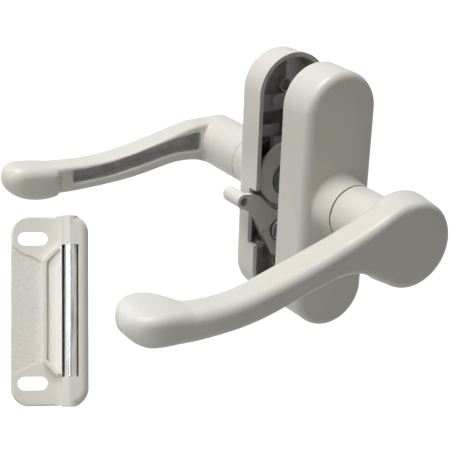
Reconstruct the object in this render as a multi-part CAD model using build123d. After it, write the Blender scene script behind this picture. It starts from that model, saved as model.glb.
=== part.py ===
from build123d import *
import os
from math import acos, atan2, ceil, cos, hypot, radians, sin, sqrt

# Lever latch for a screen or storm door.
# The spindle runs along Y through the origin, which lies midway between the two plates.
# The exterior side is at -Y, the interior side at +Y, the levers point to -X, the bolt to +X.

# Plates
plate_height = 105.0
plate_width = 32.0
wall = 1.85
door_gap = 16.2
exterior_depth = 17.0
interior_depth = 14.5
plate_edge_radius = 3.4
cavity_edge_radius = 1.4
plate_draft = 1.0

# Neck bosses on the plates, and the levers' journals in them
neck_radius = 11.15
exterior_boss_length = 10.0
interior_boss_length = 12.0
boss_base_radius = 12.3
boss_root_fillet = 1.3
journal_radius = 8.5
journal_fit = 0.05
joint_gap = 0.5
washer_thickness = 0.38
snap_ring_thickness = 0.9
snap_ring_radius = 10.2
snap_groove_depth = 0.8
snap_clearance = 0.1

# Spindle and hub
spindle_size = 8.0
spindle_fit = 0.05
spindle_reach = 52.0
hub_radius = 7.3
hub_shoulder = 0.9
finger_reach = 12.0
finger_half_width = 1.75
finger_thickness = 3.0

# Levers
lever_clearance = 0.3
lobe_radius = 17.6
lobe_face = 72.0
lobe_thickness = 13.9
lobe_back_radius = 2.6
throat_radius = 7.0
elbow_face = 72.4
elbow_thickness = 13.0
arm_lap = 3.0
arm_inset = 0.04
section_step = 6.2
channel_depth = 5.4
channel_rib = 4.2
channel_sill = 2.4
neck_rib = 2.6
exterior_channel = (26.0, 78.0)
interior_channel = (12.4, 73.0)
grub_radius = 2.5
grub_inset = 7.0

# Each station of an arm, a pad or a tip gives its distance from the spindle, its top and bottom,
# its outer and inner faces, and the rounding of its upper outer, lower outer and inner edges.
exterior_arm = [
    (24.0, 8.6, -5.4, lobe_face, 60.3, 5.2, 5.2, 2.0),
    (29.0, 7.2, -6.0, 72.0, 60.5, 5.2, 4.8, 2.0),
    (42.0, 3.5, -9.6, 72.3, 61.4, 5.2, 3.6, 2.0),
    (58.0, 0.2, -12.4, 73.6, 63.4, 5.2, 2.8, 2.0),
    (74.0, -1.8, -14.0, 75.8, 65.4, 5.2, 2.6, 2.2),
    (86.0, -2.2, -14.7, 77.4, 64.6, 5.4, 2.8, 3.0),
    (97.0, 0.4, -14.9, 78.2, 62.0, 5.8, 3.6, 4.4),
    (107.1, 3.0, -14.9, 78.1, 60.8, 6.4, 5.0, 6.0),
]
interior_arm = [
    (19.0, 10.0, -6.0, elbow_face, 59.6, 4.6, 4.6, 1.6),
    (24.0, 9.0, -6.7, 72.5, 59.8, 4.6, 4.2, 1.7),
    (34.0, 6.8, -9.0, 72.7, 60.6, 4.6, 3.4, 1.8),
    (47.0, 3.6, -11.7, 73.4, 62.2, 4.6, 2.8, 1.8),
    (61.0, 0.8, -13.2, 74.5, 64.2, 4.6, 2.6, 1.8),
    (74.0, -0.5, -13.9, 75.6, 65.4, 4.6, 2.8, 2.0),
    (86.0, -0.3, -13.6, 75.8, 65.6, 4.6, 2.8, 2.0),
]
interior_pad = [
    (79.0, -0.1, -14.8, 76.1, 58.4, 4.6, 3.6, 3.4),
    (86.0, 1.2, -15.0, 76.3, 58.0, 5.0, 3.8, 4.4),
    (93.3, 2.6, -15.0, 75.8, 59.2, 5.8, 4.8, 5.4),
]
tip_nose = 5.4
tip_upper_run = 10.0
tip_lower_run = 17.0

# Hub retainer plate
retainer_thickness = 1.5
retainer_inset = 0.8
retainer_wall_gap = 0.45
retainer_centre = 2.2
retainer_hole_gap = 0.35
retainer_screws = [(5.0, 24.8), (7.0, -8.2)]
retainer_ear = 3.4
retainer_post_radius = 2.2
small_screw_radius = 1.0
small_head_radius = 1.9
small_head_height = 0.6

# Latch bolt
bolt_projection = 10.5
bolt_low = -2.0
bolt_high = 16.5
bolt_tail_low = 8.8
bolt_near = 11.7
bolt_far = 19.35
bolt_clearance = 0.3
bolt_bevel = 6.0
tail_reach = 5.4
tail_wall = 3.0
tail_near = 12.0
tail_far = 15.6
bolt_inner = 8.0
bolt_spring_depth = 17.6
bolt_spring_height = 19.4
bolt_spring_radius = 1.9
spring_wire = 0.5

# Lock lever
lock_pivot = (-3.0, -22.0)
lock_thickness = 2.0
lock_inset = 0.6
lock_pin_radius = 3.0
lock_pin_fit = 0.05
lock_retainer_gap = 1.2
lock_eye_radius = 8.4
knob_overhang = 4.9
knob_height = -7.0
lock_knob_radius = 3.15
lock_knob_bore = 1.9
lock_knob_length = 13.8
lock_nose_reach = 12.5
lock_nose_width = 4.0
lock_nose_far = 12.9
notch_top = -3.0
notch_bottom = -27.0
notch_depth = 4.9

# Through bolts
bolt_inset = 14.4
through_radius = 2.0
through_clearance = 0.25
thread_fit = 0.05
through_head_radius = 3.7
through_head_height = 2.2
post_radius = 3.6
interior_post_end = 13.4
interior_post_radius = 2.95
ledge_height = 28.0
ledge_face = 14.1
ledge_boss = (-4.1, 32.0)
exterior_post_end = 10.5

# Strike
strike_height = 67.7
strike_width = 27.2
strike_corner = 6.5
strike_base = 2.6
field_recess = 0.4
pocket_floor = 0.9
pocket_left = 17.9
rod_side_gap = 0.35
strike_slot_length = 10.6
strike_slot_width = 4.9
strike_slot_spacing = 51.7
strike_slot_centre = 7.6
rod_radius = 2.35
rod_fit = 0.02
rod_centre = 20.95
rod_rise = 8.6
rod_span = 46.6
rod_socket = 6.0
strike_boss_radius = 3.15
strike_edge_round = 2.6
ridge_width = 1.75
ridge_rise = 4.9
ridge_line = [(16.9, 22.8), (11.9, 17.8), (11.9, -17.8), (16.9, -22.8)]
trough_near = 3.0
trough_far = 4.2
strike_turn = 22.5
strike_lean = 26.2
strike_tilt = -1.5
strike_place = (-112.5, -6.8, -28.0)

rim = door_gap / 2
exterior_face = rim + exterior_depth
interior_face = rim + interior_depth
exterior_floor = exterior_face - wall
interior_floor = interior_face - wall
exterior_joint = exterior_face + exterior_boss_length
interior_joint = interior_face + interior_boss_length
inner_half_width = plate_width / 2 - wall
retainer_radius = inner_half_width - retainer_wall_gap
bolt_spacing = plate_height - 2 * bolt_inset
grub_depth = spindle_reach - grub_inset
plate_edge = -plate_width / 2
lock_knob = (plate_edge - knob_overhang, knob_height)


def at(depth):
    """Drawing plane across the spindle, seen from the exterior side."""
    return Plane.XZ.offset(-depth)


def slab(outline, low, high):
    """An outline carried along the spindle from depth low to depth high."""
    return extrude(at(high) * outline, amount=high - low)


def bar(centre, radius, low, high):
    """A round bar along the spindle direction."""
    return slab(Pos(centre[0], centre[1]) * Circle(radius), low, high)


def spun(points, rounds=()):
    """A profile of radius and depth turned about the spindle, with some corners rounded."""
    profile = make_face(Polyline(*points, close=True))
    for (radius, depth), size in rounds:
        corner = profile.vertices().sort_by_distance((radius, depth, 0))[0]
        profile = fillet(corner, size)
    return revolve(profile, Axis.Y)


def plate_shell(depth, boss_length):
    """An escutcheon on the exterior side: a drafted hollow stadium with its neck boss."""
    outline = SlotOverall(plate_height, plate_width, rotation=90)
    inside = SlotOverall(plate_height - 2 * wall, plate_width - 2 * wall, rotation=90)
    body = extrude(at(-rim) * outline, amount=depth, taper=plate_draft)
    body = fillet(body.faces().sort_by(Axis.Y)[0].edges(), plate_edge_radius)
    hollow = extrude(at(-rim) * inside, amount=depth - wall, taper=plate_draft)
    hollow = fillet(hollow.faces().sort_by(Axis.Y)[0].edges(), cavity_edge_radius)
    face = -(rim + depth)
    end = face - boss_length + joint_gap / 2
    boss = spun(
        [
            (0, face + wall / 2),
            (boss_base_radius + boss_root_fillet + 0.01, face + wall / 2),
            (boss_base_radius + boss_root_fillet + 0.01, face),
            (boss_base_radius, face),
            (neck_radius, end),
            (0, end),
        ],
        [((boss_base_radius, face), boss_root_fillet)],
    )
    bore = bar((0, 0), journal_radius + journal_fit, end - 1, -rim)
    return body - hollow + boss - bore


def arm_section(reach, top, bottom, outer, inner, upper_round, lower_round, inner_round):
    """One cross-section of an arm: full on its upper outer edge, tighter elsewhere."""
    shape = Pos((outer + inner) / 2, (top + bottom) / 2) * Rectangle(outer - inner, top - bottom)
    corners = shape.vertices()
    shape = fillet(corners.sort_by_distance((outer, top))[0], upper_round)
    shape = fillet(shape.vertices().sort_by_distance((outer, bottom))[0], lower_round)
    shape = fillet(shape.vertices().group_by(Axis.X)[0], inner_round)
    return Plane(origin=(-reach, 0, 0), x_dir=(0, -1, 0), z_dir=(-1, 0, 0)) * shape


def arm_size(stations, reach):
    """An arm's measures at a distance from the spindle, on smooth curves through its stations."""
    last = len(stations) - 1
    here = next(k for k in range(last) if reach <= stations[k + 1][0] + 0.001)
    start = stations[here]
    end = stations[here + 1]
    before = stations[max(here - 1, 0)]
    after = stations[min(here + 2, last)]
    span = end[0] - start[0]
    part_way = (reach - start[0]) / span
    measures = [reach]
    for k in range(1, len(start)):
        leave = (end[k] - before[k]) / (end[0] - before[0]) * span
        arrive = (after[k] - start[k]) / (after[0] - start[0]) * span
        rise = end[k] - start[k]
        square = 3 * rise - 2 * leave - arrive
        cube = leave + arrive - 2 * rise
        measures.append(start[k] + part_way * (leave + part_way * (square + part_way * cube)))
    return measures


def sampled(stations):
    """The measures of an arm at evenly spaced distances between its first and last stations."""
    start = stations[0][0]
    length = stations[-1][0] - start
    steps = ceil(length / section_step)
    return [arm_size(stations, start + length * k / steps) for k in range(steps + 1)]


def blunt_tip(sizes):
    """The sections of an arm carried on around an egg-shaped tip."""
    reach, top, bottom, outer, inner, *rounds = sizes[-1]
    radius = (outer - inner) / 2
    middle = (outer + inner) / 2
    end = reach + radius
    for turn in (14, 27, 39, 50, 60, 68, 75):
        half = radius * cos(radians(turn))
        place = end - radius * (1 - sin(radians(turn)))
        sizes.append([place, top, bottom, middle + half, middle - half, *rounds])
    shaped = []
    for reach, high, low, outer, inner, *rounds in sizes:
        nose = high - tip_nose
        for run in (tip_upper_run, tip_lower_run):
            part_way = max(1 - (end - reach) / run, 0)
            if run == tip_upper_run:
                high = nose + (high - nose) * sqrt(1 - part_way**2)
            else:
                low = nose + (low - nose) * sqrt(1 - part_way**2)
        most = 0.42 * min(high - low, outer - inner)
        shaped.append([reach, high, low, outer, inner, *[min(size, most) for size in rounds]])
    return shaped


def lofted(sizes):
    """A solid through a row of arm sections, a hair smaller than their measures."""
    sections = []
    for reach, top, bottom, outer, inner, *rounds in sizes:
        box = (reach, top - arm_inset, bottom + arm_inset, outer - arm_inset, inner + arm_inset)
        sections.append(arm_section(*box, *rounds))
    return loft(sections)


def lapped(stations):
    """The sections of an arm, started a little way inside its head."""
    root = stations[0]
    return [[root[0] - arm_lap, root[1] + 0.3 * arm_lap, *root[2:]], *sampled(stations)]


def lever_head(radius, station):
    """The flat head of a lever: a round end running straight off into the arm's first station."""
    reach, top, bottom, outer, inner, upper_round, lower_round, inner_round = station
    lift = atan2(top, -reach) - acos(radius / hypot(reach, top))
    touch = (radius * cos(lift), radius * sin(lift))
    start = Polyline((0, 0), touch, (-reach, top), (-reach, bottom), (0, bottom), close=True)
    outline = Circle(radius) + make_face(start)
    corner = (-sqrt(radius**2 - bottom**2), bottom, 0)
    outline = fillet(outline.vertices().sort_by_distance(corner)[0], throat_radius)
    head = slab(outline, -outer, -inner)
    front = head.faces().sort_by(Axis.Y)[0].edges().filter_by_position(Axis.X, -reach + 0.01, radius)
    head = fillet(front, upper_round)
    back = head.faces().sort_by(Axis.Y)[-1].edges().filter_by_position(Axis.X, -reach + 0.01, radius)
    return fillet(back, inner_round)


def lever_channel(stations, begin, end):
    """The cored groove along the inner face of an arm, from one distance to another."""
    cuts = []
    steps = ceil((end - begin) / section_step)
    for k in range(steps + 1):
        size = arm_size(stations, begin + (end - begin) * k / steps)
        reach, top, bottom, outer, inner = size[:5]
        rib = neck_rib + (channel_rib - neck_rib) * k / steps
        box = (reach, top - rib, bottom + channel_sill, inner + channel_depth, inner - 1.5)
        cuts.append(arm_section(*box, 1.2, 1.2, 0.3))
    return loft(cuts)


def lever_neck(joint, floor, reach):
    """The journal side of a lever: journal, ring groove and neck, on the exterior side."""
    start = joint + joint_gap / 2
    groove = floor - snap_clearance - snap_ring_thickness
    end = groove - 0.8
    core = bar((0, 0), journal_radius, -start - 1, -end)
    ring = bar((0, 0), journal_radius + 1, -floor + snap_clearance / 2, -groove + snap_clearance / 2)
    ring -= bar((0, 0), journal_radius - snap_groove_depth, -floor, -groove + 1)
    neck = bar((0, 0), neck_radius, -reach, -start)
    return core - ring + neck


def lever_bores(depth):
    """The square spindle socket and the grub screw hole of a lever on the exterior side."""
    side = spindle_size + 2 * spindle_fit
    square = slab(Rectangle(side, side), -spindle_reach - 0.5, 0)
    hole = Cylinder(grub_radius + thread_fit, neck_radius + 1, align=(Align.CENTER, Align.CENTER, Align.MAX))
    return square + Pos(0, -grub_depth, 0) * hole


def snap_ring(floor):
    """An open retaining ring that rests inside a plate's floor, on the exterior side."""
    far = floor - snap_clearance
    hole = journal_radius - snap_groove_depth + 0.05
    gap = Pos(snap_ring_radius, 0) * Rectangle(snap_ring_radius * 2, 4)
    return slab(Circle(snap_ring_radius) - Circle(hole) - gap, -far, -far + snap_ring_thickness)


def grub_screw():
    """A socket set screw under a lever's neck, on the exterior side."""
    low = -neck_radius + 0.6
    high = -spindle_size / 2 - 0.02
    body = Cylinder(grub_radius, high - low, align=(Align.CENTER, Align.CENTER, Align.MIN))
    body -= extrude(RegularPolygon(1.45, 6), amount=2.4)
    return Pos(0, -grub_depth, low) * body


def neck_washer(joint):
    """The thin ring in the joint line between a plate's boss and a lever's neck."""
    outline = Circle(neck_radius - 0.5) - Circle(journal_radius + journal_fit)
    return slab(outline, -joint - washer_thickness / 2, -joint + washer_thickness / 2)


def other_side(shape):
    """The same shape on the interior side."""
    return mirror(shape, Plane.XZ)


def coil(radius, wire, pitch, length):
    """A round-wire spring along Z, from its own origin."""
    path = Helix(pitch=pitch, height=length, radius=radius)
    section = Plane(origin=path @ 0, z_dir=path % 0) * Circle(wire / 2)
    return sweep(section, path)


# Levers
lobe_back = -lobe_face + lobe_thickness
exterior_lobe = spun(
    [
        (0, -exterior_joint - joint_gap / 2),
        (neck_radius, -exterior_joint - joint_gap / 2),
        (neck_radius, lobe_back),
        (lobe_radius, lobe_back),
        (lobe_radius, lobe_back - 5),
        (0, lobe_back - 5),
    ],
    [((neck_radius, lobe_back), 3.0), ((lobe_radius, lobe_back), lobe_back_radius)],
)
exterior_lever = exterior_lobe + lever_head(lobe_radius, exterior_arm[0])
exterior_lever += lofted(blunt_tip(lapped(exterior_arm)))
exterior_lever += lever_neck(exterior_joint, exterior_floor, exterior_joint + 5)
exterior_lever -= lever_channel(exterior_arm, *exterior_channel)
exterior_lever -= lever_bores(exterior_joint)

interior_lever = lever_head(neck_radius, interior_arm[0])
interior_lever += lofted(lapped(interior_arm))
interior_lever += lever_neck(interior_joint, interior_floor, elbow_face - elbow_thickness + 3)
interior_lever -= lever_channel(interior_arm, *interior_channel)
interior_lever += lofted(blunt_tip(sampled(interior_pad)))
interior_lever -= lever_bores(interior_joint)
interior_lever = other_side(interior_lever)

exterior_snap_ring = snap_ring(exterior_floor)
interior_snap_ring = other_side(snap_ring(interior_floor))
exterior_grub_screw = grub_screw()
interior_grub_screw = other_side(grub_screw())
exterior_neck_washer = neck_washer(exterior_joint)
interior_neck_washer = other_side(neck_washer(interior_joint))

# Spindle
spindle = slab(Rectangle(spindle_size, spindle_size), -spindle_reach, spindle_reach)
spindle = chamfer(spindle.faces().sort_by(Axis.Y)[0].edges(), 0.8)
spindle = chamfer(spindle.faces().sort_by(Axis.Y)[-1].edges(), 0.8)

# Latch hub
retainer_near = rim + retainer_inset
retainer_far = retainer_near + retainer_thickness
hub_near = rim + 0.5
hub_far = interior_floor - snap_clearance - snap_ring_thickness - 1.2
shoulder_near = retainer_far + 0.15
finger_near = bolt_near + 0.6
finger_outline = Pos(0, finger_reach / 2) * Rectangle(2 * finger_half_width, finger_reach)
finger_outline += Pos(0, finger_reach) * Circle(finger_half_width)
latch_hub = bar((0, 0), hub_radius, hub_near, hub_far)
latch_hub += bar((0, 0), hub_radius + hub_shoulder, shoulder_near, shoulder_near + 0.6)
latch_hub += slab(finger_outline, finger_near, finger_near + finger_thickness)
hub_bore = spindle_size + 2 * spindle_fit
latch_hub -= slab(Rectangle(hub_bore, hub_bore), hub_near - 1, hub_far + 1)

# Exterior escutcheon
half_spacing = bolt_spacing / 2
exterior_escutcheon = plate_shell(exterior_depth, exterior_boss_length)
for side in (-1, 1):
    post_place = (0, side * half_spacing)
    exterior_escutcheon += bar(post_place, post_radius, -exterior_floor - 0.2, -exterior_post_end)
    rib = Pos(0, side * (half_spacing + 6)) * Rectangle(1.4, 12)
    exterior_escutcheon += slab(rib, -exterior_floor - 0.2, -exterior_post_end - 4)
    exterior_escutcheon -= bar(post_place, through_radius + thread_fit, -exterior_floor + 1, 0)
spring_anchor = (10.6, -8.0)
exterior_escutcheon += bar(spring_anchor, 1.5, -exterior_floor - 0.2, -13.0)

# Interior housing
cavity_outline = SlotOverall(plate_height - 2 * wall, plate_width - 2 * wall, rotation=90)
interior_housing = other_side(plate_shell(interior_depth, interior_boss_length))
floor_in = interior_floor + 0.2
upper_zone = Pos(0, ledge_height + plate_height / 2) * Rectangle(plate_width, plate_height)
interior_housing += slab(cavity_outline & upper_zone, ledge_face + 2.6, floor_in)
ledge_zone = Pos(0, ledge_height + 3.4) * Rectangle(plate_width, 6.8)
interior_housing += slab(cavity_outline & ledge_zone, ledge_face, floor_in)
interior_housing += bar(ledge_boss, 2.6, ledge_face - 1.0, floor_in)
for side in (-1, 1):
    post_place = (0, side * half_spacing)
    interior_housing += bar(post_place, interior_post_radius, interior_post_end, floor_in)
    rib = Pos(0, side * (half_spacing + 6)) * Rectangle(1.2, 12)
    interior_housing += slab(rib, interior_post_end, floor_in)
    interior_housing -= bar(post_place, through_radius + through_clearance, 0, interior_face + 1)
for place in retainer_screws:
    interior_housing += bar(place, retainer_post_radius, retainer_far, floor_in)
    interior_housing -= bar(place, small_screw_radius + thread_fit, retainer_far - 1, retainer_far + 5.5)
ring_room = interior_floor - snap_ring_thickness - 0.5
interior_housing -= bar((0, 0), snap_ring_radius + 0.4, ring_room, interior_floor)
lock_near = rim + lock_inset
lock_far = lock_near + lock_thickness
interior_housing += bar(lock_pivot, lock_pin_radius + 1.8, lock_far + 0.1, floor_in)
interior_housing += bar(lock_pivot, lock_pin_radius, lock_near + 1.1, lock_far + 1)
interior_housing -= bar(lock_pivot, small_screw_radius + thread_fit, lock_near, lock_near + 7)
recess_ring = Circle(retainer_radius + 3.2) - Circle(retainer_radius + 2.0)
recess_ring &= Pos(-plate_width / 2 - 2, plate_width / 2) * Rectangle(plate_width, plate_width)
interior_housing += slab(recess_ring & cavity_outline, tail_far + 0.7, floor_in)
tunnel_end = -1.5
tunnel = Pos((tunnel_end - plate_width / 2 + wall / 2) / 2, bolt_spring_height) * Rectangle(
    tunnel_end + plate_width / 2 - wall / 2, 5.2
)
interior_housing += slab(tunnel, bolt_spring_depth - 2.6, floor_in)
spring_bore = Pos(-inner_half_width + 0.4, bolt_spring_depth, bolt_spring_height) * (
    Rot(0, 90, 0) * Cylinder(bolt_spring_radius + 0.7, 20, align=(Align.CENTER, Align.CENTER, Align.MIN))
)
interior_housing -= spring_bore
window = Pos(plate_width / 2, (bolt_low + bolt_high) / 2) * Rectangle(
    8, bolt_high - bolt_low + 2 * bolt_clearance
)
interior_housing -= slab(window, bolt_near - bolt_clearance, bolt_far + bolt_clearance)
notch = Pos(-plate_width / 2, (notch_top + notch_bottom) / 2) * Rectangle(8, notch_top - notch_bottom)
interior_housing -= slab(notch, rim - 1, rim + notch_depth)
lower_web = Pos(-8.0, notch_bottom - 1.6) * Rectangle(15, 1.4)
interior_housing += slab(lower_web & cavity_outline, rim + notch_depth - 1.0, floor_in)
interior_housing += bar((-10.4, notch_bottom - 1.5), 1.5, rim + notch_depth - 1.6, floor_in)

# Hub retainer
retainer_outline = Pos(0, retainer_centre) * Circle(retainer_radius)
upper_ear = retainer_screws[0]
ear_neck = Rectangle(2 * retainer_ear, upper_ear[1] - retainer_centre)
retainer_outline += Pos(upper_ear[0], (upper_ear[1] + retainer_centre) / 2) * ear_neck
for place in retainer_screws:
    retainer_outline += Pos(*place) * Circle(retainer_ear)
retainer_outline -= Circle(hub_radius + retainer_hole_gap)
for place in retainer_screws:
    retainer_outline -= Pos(*place) * Circle(small_screw_radius + 0.15)
hub_retainer = slab(retainer_outline, retainer_near, retainer_far)


def small_screw(place, seat, length):
    """A small pan-head screw whose head rests on a seat and faces the exterior side."""
    head = bar(place, small_head_radius, seat - small_head_height, seat)
    slot = Pos(*place) * Rectangle(2.6, 0.5)
    head -= slab(slot, seat - small_head_height - 1, seat - small_head_height + 0.3)
    return head + bar(place, small_screw_radius, seat, seat + length)


retainer_screw_upper = small_screw(retainer_screws[0], retainer_near, 6.5)
retainer_screw_lower = small_screw(retainer_screws[1], retainer_near, 6.5)

# Latch bolt
bolt_end = plate_width / 2 + bolt_projection
head_outline = Pos((bolt_inner + bolt_end) / 2, (bolt_tail_low + bolt_high) / 2) * Rectangle(
    bolt_end - bolt_inner, bolt_high - bolt_tail_low
)
outer_start = plate_width / 2 + 1.4
head_outline += Pos((outer_start + bolt_end) / 2, (bolt_low + bolt_high) / 2) * Rectangle(
    bolt_end - outer_start, bolt_high - bolt_low
)
latch_bolt = slab(head_outline, bolt_near, bolt_far)
bevel = Polyline(
    (bolt_end + 1, bolt_near + 2.0),
    (bolt_end + 1, bolt_far + 1),
    (bolt_end - bolt_bevel - 1, bolt_far + 1),
    (bolt_end, bolt_near + 2.0),
    close=True,
)
latch_bolt -= Pos(0, 0, bolt_low - 1) * extrude(make_face(bevel), amount=bolt_high - bolt_low + 2)
tail_top = finger_reach + finger_half_width + 0.5
tail_outline = Pos((bolt_inner + 1 - tail_reach) / 2, (tail_top + bolt_high) / 2) * Rectangle(
    bolt_inner + 1 + tail_reach, bolt_high - tail_top
)
tail_outline += Pos(-tail_reach + tail_wall / 2, (bolt_tail_low + bolt_high) / 2) * Rectangle(
    tail_wall, bolt_high - bolt_tail_low
)
latch_bolt += slab(tail_outline, tail_near, tail_far)
lug = Pos(bolt_inner + 1.25, (bolt_high + bolt_spring_height) / 2 + 1) * Rectangle(
    2.5, bolt_spring_height - bolt_high + 3
)
latch_bolt += slab(lug, bolt_spring_depth - 2.2, bolt_far)

# Bolt spring
bolt_spring_start = -inner_half_width + 0.6
bolt_spring_length = bolt_inner - bolt_spring_start - spring_wire - 0.1
bolt_spring = coil(bolt_spring_radius, spring_wire, bolt_spring_length / 11, bolt_spring_length)
bolt_spring = Pos(bolt_spring_start + spring_wire / 2, bolt_spring_depth, bolt_spring_height) * (
    Rot(0, 90, 0) * bolt_spring
)

# Lock lever
pivot_x, pivot_z = lock_pivot
knob_x, knob_z = lock_knob
lock_outline = Pos(*lock_pivot) * Circle(lock_eye_radius)
lock_arm = Polyline(
    (knob_x, knob_z - lock_knob_radius),
    (knob_x, knob_z + lock_knob_radius),
    (plate_edge - 0.2, -4.5),
    (plate_edge + 2.5, -5.6),
    (plate_edge + 5.2, -8.8),
    (-7.0, -12.2),
    (pivot_x + 1, -14.0),
    (pivot_x, pivot_z),
    (plate_edge + 4.1, -23.4),
    (plate_edge + 1.6, -17.7),
    (plate_edge - 0.4, -13.2),
    close=True,
)
lock_outline += make_face(lock_arm)
lock_finger = Polyline(
    (-10.6, -24.2), (-7.9, -29.1), (-5.6, -33.0), (-4.0, -33.6), (-2.8, -32.4), (-2.6, -24.0), close=True
)
lock_outline += make_face(lock_finger)
lock_outline += Pos(*lock_knob) * Circle(lock_knob_radius)
lock_outline -= Pos(0, retainer_centre) * Circle(retainer_radius + lock_retainer_gap)
lock_lever = slab(lock_outline, lock_near, lock_far)
nose = Pos(0, lock_nose_reach - 3) * Rectangle(lock_nose_width, 6)
nose = Pos(*lock_pivot) * (Rot(0, 0, -32) * nose)
lock_lever += slab(nose & (Pos(*lock_pivot) * Circle(lock_eye_radius)), lock_near + 1.2, lock_nose_far)
lock_lever += slab(nose, retainer_far + 0.35, lock_nose_far)
lock_lever -= bar(lock_pivot, lock_pin_radius + lock_pin_fit, 0, 20)
lock_lever -= bar(lock_pivot, lock_pin_radius + 2.2, 0, lock_near + 1.4)
lock_lever += bar(lock_knob, lock_knob_radius, lock_near, lock_near + lock_knob_length - lock_knob_radius)
lock_lever += Pos(knob_x, lock_near + lock_knob_length - lock_knob_radius, knob_z) * Sphere(lock_knob_radius)
lock_lever -= bar(lock_knob, lock_knob_bore, lock_near - 1, lock_near + 5)

lock_seat = lock_near + 1.1
lock_pivot_screw = bar(lock_pivot, lock_pin_radius + 1.1, lock_seat - 1.7, lock_seat)
lock_pivot_screw = fillet(lock_pivot_screw.faces().sort_by(Axis.Y)[0].edges(), 0.4)
driver_slot = Rot(0, 0, 35) * Rectangle(2 * lock_pin_radius + 3, 0.9)
lock_pivot_screw -= slab(Pos(*lock_pivot) * driver_slot, lock_seat - 2, lock_seat - 1.1)
lock_pivot_screw += bar(lock_pivot, small_screw_radius, lock_seat, lock_seat + 5.5)

# Detent leaf on the lock lever
leaf_line = Polyline(
    (-12.2, -22.0), (-11.2, -21.3), (-8.0, -21.7), (-4.9, -31.6), (-5.3, -32.6), (-7.2, -32.2), close=True
)
detent_leaf = slab(make_face(leaf_line) - Pos(*lock_pivot) * Circle(lock_pin_radius + 2.2), rim, lock_near)

# Through bolts
def through_bolt(height):
    """A machine screw from the interior face into the exterior plate's post."""
    head = bar((0, height), through_head_radius, interior_face, interior_face + through_head_height)
    head = fillet(head.faces().sort_by(Axis.Y)[-1].edges(), 1.0)
    slot = Pos(0, height) * Rectangle(2 * through_head_radius, 0.9)
    head -= slab(slot, interior_face + 1.2, interior_face + 4)
    return head + bar((0, height), through_radius, -exterior_floor + 2.5, interior_face)


upper_through_bolt = through_bolt(half_spacing)
lower_through_bolt = through_bolt(-half_spacing)

# Return spring and its collar, inside the exterior plate
collar_near = -rim - 2.2
collar_far = collar_near - 2.4
spring_collar = bar((0, 0), 9.4, collar_far, collar_near)
spring_collar += bar((-8.5, 0), 0.75, collar_far - 3.0, collar_far)
spring_collar -= slab(Rectangle(hub_bore, hub_bore), collar_far - 1, collar_near + 1)
return_wire = 0.9
return_radius = 6.9
return_length = exterior_floor - snap_clearance - snap_ring_thickness - 1.0 + collar_far - 1.6
return_spring = coil(return_radius, return_wire, return_length / 4.25, return_length)
return_spring = Pos(0, collar_far - return_wire / 2 - 0.3, 0) * (Rot(90, 0, 0) * return_spring)

# Strike
half_strike = strike_height / 2
strike_depth = rod_rise + strike_boss_radius
strike_outline = Pos(strike_width / 2, 0) * RectangleRounded(strike_width, strike_height, strike_corner)
strike_body = fillet(slab(strike_outline, -strike_base, 0).faces().sort_by(Axis.Y)[0].edges(), 0.8)
wall_zone = Pos((rod_centre + strike_width) / 2, 0) * Rectangle(strike_width - rod_centre, strike_height)
strike_wall = slab(strike_outline & wall_zone, -strike_depth, 0)
wall_edges = strike_wall.faces().sort_by(Axis.Y)[0].edges()
wall_edges = wall_edges.filter_by_position(Axis.X, rod_centre + 0.01, strike_width)
strike_body += fillet(wall_edges, strike_edge_round)
barrel = Pos(rod_centre, -rod_rise, 0) * Cylinder(strike_boss_radius, strike_height - 0.6)
strike_body += barrel & slab(strike_outline, -strike_depth - 1, 0)
seat_zone = Pos(rod_centre - strike_boss_radius / 2, 0) * Rectangle(strike_boss_radius, strike_height)
strike_body += slab(strike_outline & seat_zone, -rod_rise, 0)
step_zone = Pos(rod_centre - strike_boss_radius - 1.0, 0) * Rectangle(2.2, strike_height)
strike_body += slab(strike_outline & step_zone, -strike_base - 0.8, 0)
pocket_right = rod_centre + rod_radius + rod_side_gap
pocket = Pos((pocket_left + pocket_right) / 2, 0) * Rectangle(pocket_right - pocket_left, rod_span)
strike_body -= slab(pocket, -strike_depth - 1, -pocket_floor)
ridge = slab(trace(Polyline(*ridge_line), ridge_width), -ridge_rise, 0)
strike_body += fillet(ridge.faces().sort_by(Axis.Y)[0].edges(), 0.5)
trough_zone = make_face(
    Polyline(*ridge_line, (pocket_left, ridge_line[-1][1]), (pocket_left, ridge_line[0][1]), close=True)
)
trough_start = ridge_line[1][0]
trough = Polyline(
    (trough_start, 0), (trough_start, -trough_near), (pocket_left, -trough_far), (pocket_left, 0), close=True
)
trough = Pos(0, 0, -half_strike) * extrude(make_face(trough), amount=strike_height)
strike_body += trough & slab(trough_zone, -trough_far - 1, 0)
field_right = ridge_line[1][0] - ridge_width / 2 - 0.15
field_top = Spline((-1, 24.8), (1.6, 22.6), (5.4, 20.2), (8.3, 19.2), (field_right, 16.8))
field_bottom = mirror(field_top, Plane.XZ)
field_sides = Line(field_top @ 1, field_bottom @ 1) + Line(field_bottom @ 0, field_top @ 0)
field = make_face(field_top + field_sides + field_bottom)
strike_body -= slab(field, -strike_base - 1, -strike_base + field_recess)
for side in (-1, 1):
    slot = SlotOverall(strike_slot_length, strike_slot_width)
    strike_body -= slab(Pos(strike_slot_centre, side * strike_slot_spacing / 2) * slot, -10, 1)
strike_body -= Pos(rod_centre, -rod_rise, 0) * Cylinder(rod_radius + rod_fit, rod_span + 2 * rod_socket)
strike_rod = Pos(rod_centre, -rod_rise, 0) * Cylinder(rod_radius, rod_span + 2 * rod_socket - 0.4)

strike_stand = Pos(*strike_place) * Rot(0, 0, -strike_turn) * Rot(-strike_lean, 0, 0)
strike_stand = strike_stand * Rot(0, -strike_tilt, 0) * Pos(-strike_width / 2, 0, 0)
strike_body = strike_stand * strike_body
strike_rod = strike_stand * strike_rod

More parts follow.
